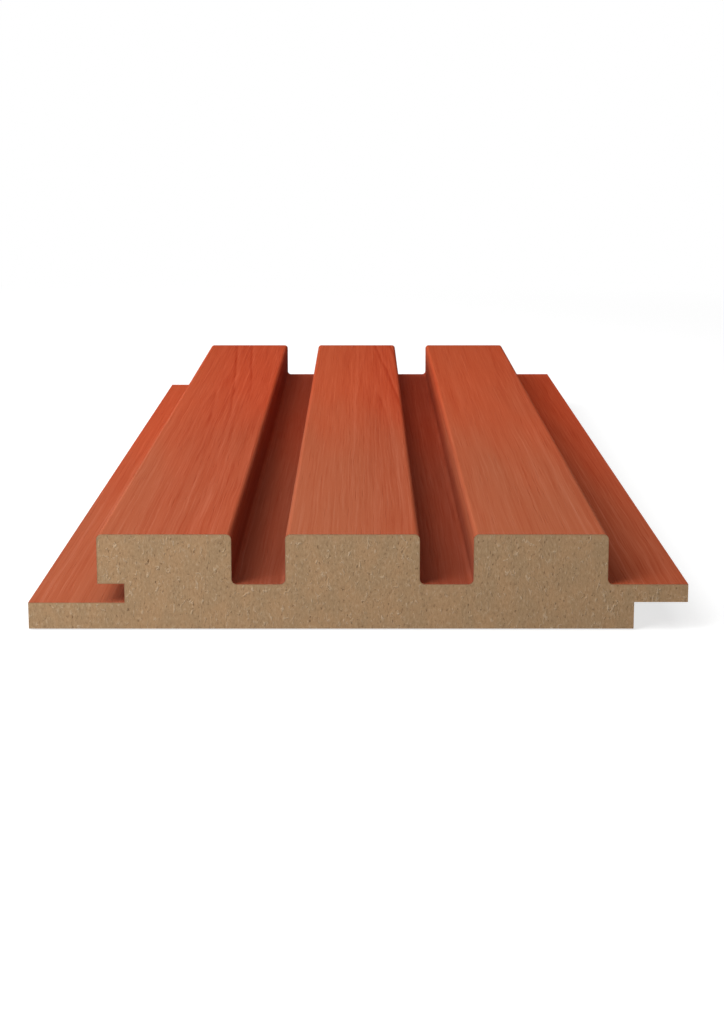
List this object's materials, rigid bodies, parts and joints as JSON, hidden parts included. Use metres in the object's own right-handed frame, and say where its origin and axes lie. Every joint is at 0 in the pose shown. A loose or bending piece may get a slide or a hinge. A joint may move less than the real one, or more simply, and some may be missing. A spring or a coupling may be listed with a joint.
{
  "type": "slatted wall panel",
  "caption": "Slatted MDF wall panel faced with wood decor foil: round-edged ribs with channels between, a fixing lip and undercut groove on one edge, a tongue on the other.",
  "frame": {"origin": "middle of the panel's footprint, on the plane of its back face", "axes": "+Z out of the wall, through the ribbed face; +Y along the ribs; +X across the panel towards the tongue"},
  "size_m": [0.123, 0.3, 0.018],
  "materials": {
    "mdf": "matte",
    "foil": "satin"
  },
  "bodies": {
    "root": {"mdf_core": "mdf", "decor_foil": "foil"}
  },
  "joints": []
}
